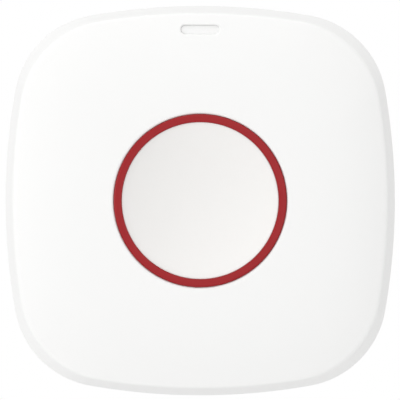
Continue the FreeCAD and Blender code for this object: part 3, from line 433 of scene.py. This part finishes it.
@dataclass(frozen=True)
class MouldedPlastic:
    """Plastic with a spark-eroded texture: a fine even grain and a faint cloudiness."""

    name: str
    colour: tuple[float, float, float]
    shade: float = 0.985
    grain: float = 0.16
    depth: float = 0.004
    roughness: float = 0.52
    spread: float = 0.06
    cloud: float = 9.0
    wave: float = 5.0

    def make(self) -> bpy.types.Material:
        """Builds the material."""
        shader = Shader(bpy.data.materials.new(self.name))
        cloud = shader.noise(self.cloud, 3.0)
        fine = shader.noise(self.grain, 2.0, 0.6)
        darker = [channel * self.shade for channel in self.colour]
        share = shader.between(cloud, 0.15, 0.6) + (fine - 0.5) * 0.4
        rough = shader.between(fine, self.roughness - self.spread, self.roughness + self.spread)
        waves = shader.bump(shader.noise(self.wave, 1.0), self.depth * 2)
        return shader.surface(
            Base_Color=shader.tint(share, self.colour, darker), Roughness=rough, IOR=1.5,
            Normal=shader.bump(fine, self.depth, waves))


@dataclass(frozen=True)
class SatinPlastic:
    """Smooth coloured plastic with flow streaks, tiny pits and a soft shine."""

    name: str
    colour: tuple[float, float, float]
    deep: tuple[float, float, float]
    roughness: float = 0.38
    streak: float = 3.2
    pit: float = 0.12

    def make(self) -> bpy.types.Material:
        """Builds the material."""
        shader = Shader(bpy.data.materials.new(self.name))
        flow = shader.noise(self.streak, 4.0)
        fine = shader.noise(self.pit, 2.0)
        rough = shader.between(flow, self.roughness - 0.05, self.roughness + 0.05) + fine * 0.04
        return shader.surface(
            Base_Color=shader.tint(shader.between(flow, 0.1, 0.8), self.colour, self.deep),
            Roughness=rough, IOR=1.48, Specular_IOR_Level=0.22, Normal=shader.bump(fine, 0.0015))


@dataclass(frozen=True)
class FrostedGuide:
    """Milky clear plastic that lets the indicator's light through."""

    name: str
    colour: tuple[float, float, float]
    haze: float = 0.5
    frost: float = 0.1

    def make(self) -> bpy.types.Material:
        """Builds the material."""
        shader = Shader(bpy.data.materials.new(self.name))
        haze = shader.noise(self.haze, 3.0)
        dim = [channel * 0.95 for channel in self.colour]
        return shader.surface(
            Base_Color=shader.tint(haze, self.colour, dim),
            Roughness=shader.between(haze, 0.24, 0.34), IOR=1.49, Coat_Weight=0.3,
            Coat_Roughness=0.2, Normal=shader.bump(shader.noise(self.frost, 2.0), 0.001))


@dataclass(frozen=True)
class PlatedMetal:
    """Plated or drawn metal with fine scratches along one way and dull patches."""

    name: str
    colour: tuple[float, float, float]
    roughness: float = 0.3
    stretch: tuple[float, float, float] = (1.0, 1.0, 12.0)
    scratch: float = 0.7
    patch: float = 1.6

    def make(self) -> bpy.types.Material:
        """Builds the material."""
        shader = Shader(bpy.data.materials.new(self.name))
        drawn = shader.node("ShaderNodeVectorMath", {"operation": "MULTIPLY"},
                            {0: shader.place(), 1: self.stretch}).outputs[0]
        lines = shader.noise(self.scratch, 3.0, 0.6, drawn)
        patches = shader.noise(self.patch, 3.0)
        dull = [channel * 0.8 for channel in self.colour]
        worn = shader.between(patches, self.roughness - 0.08, self.roughness + 0.12)
        return shader.surface(
            Base_Color=shader.tint(shader.between(patches, 0.0, 0.7), self.colour, dull),
            Metallic=1.0, Roughness=worn + lines * 0.08, Normal=shader.bump(lines, 0.002))


@dataclass(frozen=True)
class SolderMask:
    """Green board lacquer with tracks under it and the weave of the glass cloth."""

    name: str
    colour: tuple[float, float, float] = (0.012, 0.13, 0.045)
    track: tuple[float, float, float] = (0.03, 0.24, 0.08)
    track_gap: float = 0.22
    track_length: float = 5.2
    track_pitch: float = 1.4
    cloth: float = 0.35

    def make(self) -> bpy.types.Material:
        """Builds the material."""
        shader = Shader(bpy.data.materials.new(self.name))
        laid = {"Vector": shader.place(), "Rotation": (math.pi / 2, 0.0, 0.0)}
        turned = shader.node("ShaderNodeMapping", {}, laid).outputs[0]
        tracks = shader.value(
            "ShaderNodeTexBrick", {"offset": 0.35, "squash": 0.6, "squash_frequency": 3},
            {"Vector": turned, "Scale": 1.0, "Mortar Size": self.track_gap * MM,
             "Brick Width": self.track_length * MM, "Row Height": self.track_pitch * MM,
             "Mortar Smooth": 0.1}, "Fac")
        weave = shader.noise(self.cloth, 2.0)
        return shader.surface(
            Base_Color=shader.tint(tracks, self.colour, self.track),
            Roughness=shader.between(weave, 0.2, 0.35), IOR=1.55,
            Normal=shader.bump(tracks + weave * 0.2, 0.02))


@dataclass(frozen=True)
class SoftSeal:
    """Rubber or foam: matt, with open pores."""

    name: str
    colour: tuple[float, float, float]
    pore: float = 0.25
    depth: float = 0.02
    cloud: float = 1.5

    def make(self) -> bpy.types.Material:
        """Builds the material."""
        shader = Shader(bpy.data.materials.new(self.name))
        pores = shader.cells(self.pore)
        cloud = shader.noise(self.cloud, 3.0)
        lighter = [min(1.0, channel * 1.25 + 0.01) for channel in self.colour]
        return shader.surface(
            Base_Color=shader.tint(cloud, self.colour, lighter),
            Roughness=shader.between(pores, 0.7, 0.95), IOR=1.45,
            Normal=shader.bump(pores, self.depth))


WHITE_SHELL = MouldedPlastic("white_shell_texture", (0.925, 0.925, 0.917))
WHITE_CAP = MouldedPlastic("white_cap_texture", (0.896, 0.887, 0.871), shade=0.965, grain=0.3,
                           depth=0.009, roughness=0.6, spread=0.08)
WHITE_PLATE = MouldedPlastic("plain_white_texture", (0.86, 0.86, 0.85), shade=0.98, grain=0.22)
BLACK_PLASTIC = MouldedPlastic("black_plastic_texture", (0.022, 0.022, 0.024), shade=0.7,
                               grain=0.14, depth=0.003)
RED_PLASTIC = SatinPlastic("red_plastic_satin", (0.365, 0.018, 0.022), (0.30, 0.012, 0.016))
LED_BODY = SatinPlastic("indicator_package", (0.86, 0.80, 0.55), (0.72, 0.62, 0.3))
YELLOW_CASE = SatinPlastic("capacitor_case", (0.70, 0.42, 0.06), (0.6, 0.34, 0.05))
CLEAR_GUIDE = FrostedGuide("clear_guide_frosted", (0.93, 0.93, 0.925))
SPRING_STEEL = PlatedMetal("spring_steel_drawn", (0.55, 0.55, 0.56), roughness=0.25,
                           stretch=(1.0, 8.0, 1.0))
TINNED = PlatedMetal("tinned_sheet", (0.68, 0.68, 0.67), roughness=0.35)
ZINC = PlatedMetal("zinc_plating", (0.62, 0.63, 0.66), roughness=0.32, stretch=(1.0, 1.0, 1.0))
NICKEL_CAN = PlatedMetal("nickel_can", (0.66, 0.65, 0.62), roughness=0.22,
                         stretch=(1.0, 6.0, 1.0))
GOLD_FLASH = PlatedMetal("gold_flash", (0.78, 0.64, 0.36), roughness=0.28)
COPPER_WIRE = PlatedMetal("enamelled_copper", (0.62, 0.27, 0.12), roughness=0.22)
BOARD_MASK = SolderMask("green_solder_mask")
SEAL_RUBBER = SoftSeal("seal_rubber", (0.03, 0.03, 0.032), pore=0.12, depth=0.006)
FOAM_TAPE = SoftSeal("grey_foam_tape", (0.52, 0.53, 0.54), pore=0.3, depth=0.03)

NODE_FINISHES = {
    WHITE_SHELL: ("rear_housing", "tamper_plunger"),
    WHITE_PLATE: ("wall_plate", "battery_door"),
    BLACK_PLASTIC: ("button_switch_body", "button_switch_plunger", "controller_chip",
                    "small_components", "tamper_switch_body"),
    LED_BODY: ("indicator_led",),
    YELLOW_CASE: ("reservoir_capacitor",),
    TINNED: ("button_switch_plate", "button_switch_terminals", "radio_can", "crystal"),
    ZINC: ("case_screws", "board_screws"),
    NICKEL_CAN: ("battery_cell",),
    GOLD_FLASH: ("battery_contact_positive", "battery_contact_negative"),
    COPPER_WIRE: ("antenna_coil",),
    BOARD_MASK: ("circuit_board",),
    SEAL_RUBBER: ("battery_door_seal", "case_seal"),
    FOAM_TAPE: ("adhesive_pads",),
}


def dress(piece: bpy.types.Object, material: bpy.types.Material) -> None:
    """Gives a piece one material in place of any that it has."""
    piece.data.materials.clear()
    piece.data.materials.append(material)


def stadium(half: float, radius: float, steps: int = 20) -> list[tuple[float, float]]:
    """Points round a slot with round ends.

    Args:
        half: Half the straight run.
        radius: Radius of the ends.
        steps: Spans of each end.

    Returns:
        Points across and up from its middle.
    """
    points = []
    for side, start in ((1, -90.0), (-1, 90.0)):
        for step in range(steps + 1):
            angle = math.radians(start + 180.0 * step / steps)
            points.append((side * half + radius * math.cos(angle), radius * math.sin(angle)))
    return points


@dataclass
class FrontShell:
    """Front moulding: drafted wall, softened crease, pillowed face and the button's hole."""

    case: Outline = Outline(31.0, 100.0, 14.65)
    crease: Outline = Outline(29.8, 100.0, 15.1)
    parting: float = 8.6
    bevel: float = 0.25
    shoulder: float = 15.0
    rise: float = 2.7
    fullness: float = 2.25
    flatness: float = 0.22
    hole: float = 13.77
    hole_round: float = 0.4
    hole_margin: float = 1.25
    hole_steps: int = 9
    edge_bow: float = 1.3
    edge_roundness: float = 0.83
    wall: float = 1.4
    face_thickness: float = 1.8
    collar: float = 1.35
    collar_back: float = 13.4
    tongue: float = 0.8
    tongue_end: float = 7.4
    crease_cut: float = 0.38
    crease_turn: float = 0.85
    crease_steps: int = 10
    wall_steps: int = 4
    face_steps: int = 44
    inside_shares: tuple[float, ...] = (0.9, 0.7, 0.5, 0.3, 0.1)
    slot_up: float = 27.19
    slot_half: float = 2.37
    slot_radius: float = 0.69
    slot_bevel: float = 0.22
    slot_bevel_depth: float = 0.36
    slot_reach: float = 3.2
    slot_slope: float = 0.3

    def rim(self) -> Outline:
        """Outline of the face's inner edge, a little squarer than the hole."""
        edge = self.hole + self.hole_round * self.hole_margin
        return Outline(edge, edge * self.edge_bow, edge * self.edge_roundness)

    def face_outline(self, share: float) -> Outline:
        """Outline of the face at a share of the way from the crease to the hole.

        Args:
            share: Nought at the crease and one at the hole.

        Returns:
            The outline, which turns from the case's to nearly round.
        """
        rim = self.rim()
        half = self.crease.half * (1 - share) + rim.half * share
        diagonal = self.crease.diagonal() * (1 - share) + rim.diagonal() * share
        corner = self.crease.corner * (1 - share) + rim.corner * share
        centre = (diagonal - corner) / math.sqrt(2)
        inward = centre - half
        side = (corner**2 - inward**2 - centre**2) / ((inward + corner) * 2)
        return Outline(half, side, corner)

    def face_level(self, share: float) -> float:
        """Level of the face at a share of the way from the crease to the hole."""
        bend = 3 - self.fullness * 2 - self.flatness
        easing = self.fullness + self.flatness - 2
        swell = share * (self.fullness + share * (bend + share * easing))
        return self.shoulder + self.rise * swell

    def face_loop(self, share: float, drop: float = 0.0) -> Loop:
        """Loop of the face, or of its inside at a drop below it."""
        return self.face_outline(share).loop(self.face_level(share) - drop)

    def outer_loops(self) -> list[Loop]:
        """Loops from the parting line over the crease and the face to the button hole."""
        foot = self.case.loop(self.parting + self.bevel)
        crease = self.crease.loop(self.shoulder)
        height = self.shoulder - self.parting - self.bevel
        start = between(foot, crease, 1 - self.crease_cut / height)
        width = self.crease.half - self.rim().half
        first = self.crease_cut / width
        loops = [self.case.inset(self.bevel).loop(self.parting), foot]
        for step in range(1, self.wall_steps):
            loops.append(between(foot, start, step / self.wall_steps))
        inner = self.face_loop(first)
        loops += rounded(start, crease, inner, self.crease_turn, self.crease_steps)
        for step in range(1, self.face_steps + 1):
            loops.append(self.face_loop(first + (1 - first) * step / self.face_steps))
        return loops

    def hole_loops(self, guide: Loop) -> list[Loop]:
        """Loops of the rounded edge of the hole and of the collar behind it."""
        top = self.face_level(1.0)
        edge, soft, outside = self.hole, self.hole_round, self.hole + self.collar
        profile = arc((edge + soft, top - soft), soft, 90.0, 180.0, self.hole_steps)
        profile += [(edge, top - soft * 1.5), (edge, self.collar_back),
                    (outside, self.collar_back), (outside, top - self.face_thickness)]
        return [circle_like(guide, radius, level) for radius, level in profile]

    def inner_loops(self) -> list[Loop]:
        """Loops of the hollow side, from the collar to the tongue at the parting line."""
        ceiling = self.shoulder - self.wall
        cavity = self.crease.inset(self.wall)
        lip = cavity.inset(-self.tongue)
        loops = [self.face_loop(share, self.face_thickness) for share in self.inside_shares]
        loops += [cavity.loop(ceiling), cavity.loop(self.tongue_end)]
        return loops + [lip.loop(self.tongue_end), lip.loop(self.parting)]

    def slot_cutter(self) -> bpy.types.Object:
        """Round-ended prism that cuts the indicator's slot and softens its edge."""
        half = self.crease.half
        level = self.face_level((half - self.slot_up) / (half - self.rim().half))
        width, depth, slope = self.slot_bevel, self.slot_bevel_depth, self.slot_slope
        # Extra radius, rise from the face and lean of each loop, from the foot to above the face.
        stages = [(0.0, -self.slot_reach, 0.0), (0.0, -depth, slope),
                  (width * 0.92, -depth * 0.08, slope), (width * 1.15, 0.02, slope),
                  (width * 3, 0.5, slope)]
        loops = [
            [stand(across, self.slot_up + up, level + rise - lean * up)
             for across, up in stadium(self.slot_half, self.slot_radius + extra)]
            for extra, rise, lean in stages
        ]
        shape = bmesh.new()
        skin_into(shape, [[loop_centre(loops[0])], *loops, [loop_centre(loops[-1])]])
        return finish_mesh("slot_cutter", shape)

    def build(self) -> bpy.types.Object:
        """Builds the moulding.

        Returns:
            The finished piece.
        """
        outer = self.outer_loops()
        loops = [*outer, *self.hole_loops(outer[-1]), *self.inner_loops()]
        shape = bmesh.new()
        skin_into(shape, loops, closed=True)
        shell = finish_mesh("front_moulding", shape)
        cutter = self.slot_cutter()
        cut = shell.modifiers.new("slot", "BOOLEAN")
        cut.object, cut.operation, cut.solver = cutter, "DIFFERENCE", "EXACT"
        evaluated = shell.evaluated_get(bpy.context.evaluated_depsgraph_get())
        mesh = bpy.data.meshes.new_from_object(evaluated)
        shell.modifiers.clear()
        shell.data = mesh
        mesh.name = "front_moulding"
        smooth(mesh)
        bpy.data.objects.remove(cutter)
        dress(shell, WHITE_SHELL.make())
        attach(shell, "case")
        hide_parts("front_cover")
        return shell


@dataclass
class Indicator:
    """Frosted window of the indicator: a stem with round ends that lies low in its slot."""

    up: float = 27.19
    half: float = 2.37
    radius: float = 0.67
    shift: float = 0.016
    front: float = 15.56
    slope: float = 0.3
    foot: float = 10.5
    edge: float = 0.02

    def build(self) -> bpy.types.Object:
        """Builds the window."""
        back, front, edge = self.foot, self.front, self.edge
        stages = [(0.0, back), (0.0, front - edge), (edge * 0.5, front - edge * 0.35),
                  (edge * 1.6, front)]
        loops = [
            [stand(across + self.shift, self.up + up - self.shift, level - self.slope * up)
             for across, up in stadium(self.half, self.radius - extra)]
            for extra, level in stages
        ]
        shape = bmesh.new()
        skin_into(shape, [[loop_centre(loops[0])], *loops, [loop_centre(loops[-1])]])
        window = finish_mesh("indicator_window", shape)
        dress(window, CLEAR_GUIDE.make())
        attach(window, "case")
        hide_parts("light_guide")
        return window


@dataclass
class PushButton:
    """The moving button: a dished cap in a red ring, whose carrier runs in the shell's collar."""

    ring_outer: float = 13.75
    ring_inner: float = 12.48
    ring_front: float = 17.8
    ring_round: float = 0.35
    ring_inner_round: float = 0.1
    web_front: float = 14.3
    web_back: float = 13.4
    flange: float = 15.6
    flange_back: float = 12.4
    post: float = 2.5
    post_end: float = 13.0
    cap_radius: float = 12.46
    cap_rim: float = 17.5
    dish_depth: float = 2.5
    rim_round: float = 0.07
    rim_steps: tuple[tuple[float, float], ...] = (
        (1.0, 0.12), (0.45, 0.02), (0.1, -0.35), (0.0, -1.0))
    bowl_steps: int = 40
    seat_gap: float = 0.01

    def carrier(self) -> bpy.types.Object:
        """Builds the red ring with its web and flange."""
        outer, inner, front = self.ring_outer, self.ring_inner, self.ring_front
        soft, crisp = self.ring_round, self.ring_inner_round
        profile = [(0.0, self.post_end), (self.post, self.post_end), (self.post, self.web_back),
                   (inner, self.web_back), (inner, self.flange_back),
                   (self.flange, self.flange_back), (self.flange, self.web_back),
                   (outer, self.web_back), (outer, front - soft * 3)]
        profile += arc((outer - soft, front - soft), soft, 0.0, 90.0)
        profile += arc((inner + crisp, front - crisp), crisp, 90.0, 180.0)
        profile += [(inner, front - soft * 3), (inner, self.web_front), (0.0, self.web_front)]
        shape = bmesh.new()
        skin_into(shape, turned_loops(profile))
        ring = finish_mesh("red_ring", shape)
        dress(ring, RED_PLASTIC.make())
        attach(ring, "button")
        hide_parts("button_carrier")
        return ring

    def cap(self) -> bpy.types.Object:
        """Builds the white dished cap."""
        radius, rim, soft = self.cap_radius, self.cap_rim, self.rim_round
        bowl = (radius**2 + self.dish_depth**2) / (2 * self.dish_depth)
        middle = rim - self.dish_depth + bowl
        reach = radius - soft * 1.6
        profile = []
        for step in range(self.bowl_steps + 1):
            across = reach * step / self.bowl_steps
            profile.append((across, middle - math.sqrt(bowl**2 - across**2)))
        top = profile[-1][1]
        profile += [(radius - soft * inward, top + soft * up) for inward, up in self.rim_steps]
        foot = self.web_front + self.seat_gap
        profile += [(radius, foot), (0.0, foot)]
        shape = bmesh.new()
        skin_into(shape, turned_loops(profile))
        cap = finish_mesh("dished_cap", shape)
        dress(cap, WHITE_CAP.make())
        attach(cap, "button")
        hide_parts("button_cap")
        return cap

    def build(self) -> list[bpy.types.Object]:
        """Builds both pieces."""
        return [self.carrier(), self.cap()]


@dataclass
class ReturnSpring:
    """Coil spring round the switch; the real one shortens as the button goes in, this one is
    built at rest length.
    """

    radius: float = 9.9
    wire: float = 0.7
    back: float = 9.2
    front: float = 13.4
    turns: float = 3.0
    travel: float = 1.0
    steps: int = 72
    wire_sides: int = 12

    def wire_loops(self) -> list[Loop]:
        """Loops round the wire, one after another along the coil."""
        half = self.wire / 2
        rise = self.front - self.back - self.wire
        count = round(self.turns * self.steps)
        last = 360.0 - 360.0 / self.wire_sides
        loops = []
        for step in range(count + 1):
            turn = 2 * math.pi * self.turns * step / count
            level = self.back + half + rise * step / count
            section = arc((self.radius, level), half, 0.0, last, self.wire_sides - 1)
            loops.append([stand(reach * math.cos(turn), reach * math.sin(turn), up)
                          for reach, up in section])
        return loops

    def build(self) -> bpy.types.Object:
        """Builds the spring."""
        loops = self.wire_loops()
        shape = bmesh.new()
        skin_into(shape, [[loop_centre(loops[0])], *loops, [loop_centre(loops[-1])]])
        spring = finish_mesh("return_coil", shape, COIL_SMOOTH_ANGLE)
        dress(spring, SPRING_STEEL.make())
        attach(spring, "case")
        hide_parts("return_spring")
        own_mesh(spring)
        return spring


@dataclass
class CarriedPieces:
    """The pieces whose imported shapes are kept: housing, wall plate, door, board and fixings."""

    finishes: dict[object, tuple[str, ...]] = field(
        default_factory=lambda: dict(NODE_FINISHES))

    def build(self) -> list[bpy.types.Object]:
        """Gives each kept piece its finish.

        Returns:
            The dressed pieces.
        """
        dressed = []
        for finish, names in self.finishes.items():
            material = finish.make()
            for name in names:
                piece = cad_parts[name]
                dress(piece, material)
                smooth(piece.data, KEPT_SMOOTH_ANGLE)
                dressed.append(piece)
        return dressed


@dataclass(frozen=True)
class Lamp:
    """Square softbox that faces the object."""

    name: str
    place: tuple[float, float, float]
    size: float
    level: float

    def build(self, target: Vector) -> bpy.types.Object:
        """Builds the lamp.

        Args:
            target: Point that it faces.

        Returns:
            The lamp, of a power that gives its level on a white surface turned to it.
        """
        data = bpy.data.lights.new(self.name, "AREA")
        data.shape, data.size = "SQUARE", self.size
        towards = target - Vector(self.place)
        data.energy = self.level * math.pi**2 * towards.length_squared
        lamp = bpy.data.objects.new(self.name, data)
        lamp.location = self.place
        lamp.rotation_euler = towards.to_track_quat("-Z", "Y").to_euler()
        bpy.context.scene.collection.objects.link(lamp)
        return lamp


@dataclass
class Studio:
    """Camera square on to the front, soft lamps, a white surround and a pale floor."""

    distance: float = 3.0
    outline_depth: float = 0.0086
    frame_width: float = 0.0637
    aim: tuple[float, float] = (-0.00003, 0.0001)
    sensor: float = 36.0
    clip: tuple[float, float] = (0.01, 20.0)
    target: tuple[float, float, float] = (0.0, -0.0178, 0.0)
    ambient: float = 0.655
    paper: tuple[float, float, float] = (0.95, 0.95, 0.95)
    paper_shade: tuple[float, float, float] = (0.93, 0.93, 0.93)
    floor_reach: float = 0.5
    floor_drop: float = 0.05
    shadow_share: float = 0.16
    lamps: tuple[Lamp, ...] = (
        Lamp("key_softbox", (-0.497, -0.249, 0.048), 0.24, 0.235),
        Lamp("top_softbox", (0.0, -0.11, 0.54), 0.24, 0.25),
        Lamp("fill_softbox", (0.187, -0.533, 0.048), 0.24, 0.135),
    )

    def camera(self) -> bpy.types.Object:
        """Builds the camera at the photograph's angle."""
        data = bpy.data.cameras.new("front_camera")
        data.sensor_width = self.sensor
        data.lens = data.sensor_width * self.distance / self.frame_width
        data.clip_start, data.clip_end = self.clip
        camera = bpy.data.objects.new("front_camera", data)
        camera.location = (self.aim[0], -self.distance - self.outline_depth, self.aim[1])
        camera.rotation_euler = (math.pi / 2, 0.0, 0.0)
        bpy.context.scene.collection.objects.link(camera)
        bpy.context.scene.camera = camera
        return camera

    def surround(self) -> None:
        """Lights evenly, and shows white to the camera and in what is shiny."""
        world = bpy.data.worlds.new("white_surround")
        bpy.context.scene.world = world
        shader = Shader(world)
        strength = shader.between(shader.shown(), self.ambient, 1.0)
        light = shader.node("ShaderNodeBackground", {},
                            {"Color": (1.0, 1.0, 1.0, 1.0), "Strength": strength})
        shader.node("ShaderNodeOutputWorld", {}, {"Surface": light.outputs[0]})

    def floor(self, level: float) -> bpy.types.Object:
        """Builds the floor below the object.

        Args:
            level: Height of the floor, in metres.

        Returns:
            The floor, part of the stage.
        """
        shape = bmesh.new()
        reach = self.floor_reach
        corners = [(-reach, -reach), (reach, -reach), (reach, reach), (-reach, reach)]
        shape.faces.new([shape.verts.new((x, y, level)) for x, y in corners])
        floor = finish_mesh("studio_floor", shape)
        shader = Shader(bpy.data.materials.new("pale_floor"))
        colour = shader.tint(shader.noise(6.0, 2.0), self.paper, self.paper_shade)
        paper = shader.node("ShaderNodeBsdfPrincipled", {},
                            {"Base Color": colour, "Roughness": 0.9})
        white = shader.node("ShaderNodeEmission", {},
                            {"Color": (1.0, 1.0, 1.0, 1.0), "Strength": 1.0})
        lit = shader.shown() * (1 - self.shadow_share)
        mixed = shader.node("ShaderNodeMixShader", {},
                            {0: lit, 1: paper.outputs[0], 2: white.outputs[0]})
        shader.node("ShaderNodeOutputMaterial", {}, {"Surface": mixed.outputs[0]})
        dress(floor, shader.owner)
        floor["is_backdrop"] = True
        return floor

    def build(self, level: float) -> None:
        """Builds the studio round an object that hangs above the floor, its foot at a level."""
        self.camera()
        self.surround()
        self.floor(level - self.floor_drop)
        for lamp in self.lamps:
            lamp.build(Vector(self.target))
        bpy.context.scene.view_settings.view_transform = "Standard"


def main() -> None:
    """Builds every piece, then the studio, and reports each piece."""
    logging.basicConfig(level=logging.INFO, format="%(message)s")
    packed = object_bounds()
    pieces = [FrontShell().build(), Indicator().build(), *PushButton().build()]
    pieces += [ReturnSpring().build(), *CarriedPieces().build()]
    for piece in pieces:
        LOG.info("%s: %d faces", piece.name, len(piece.data.polygons))
    Studio().build(packed[0].z)


if __name__ == "__main__":
    main()
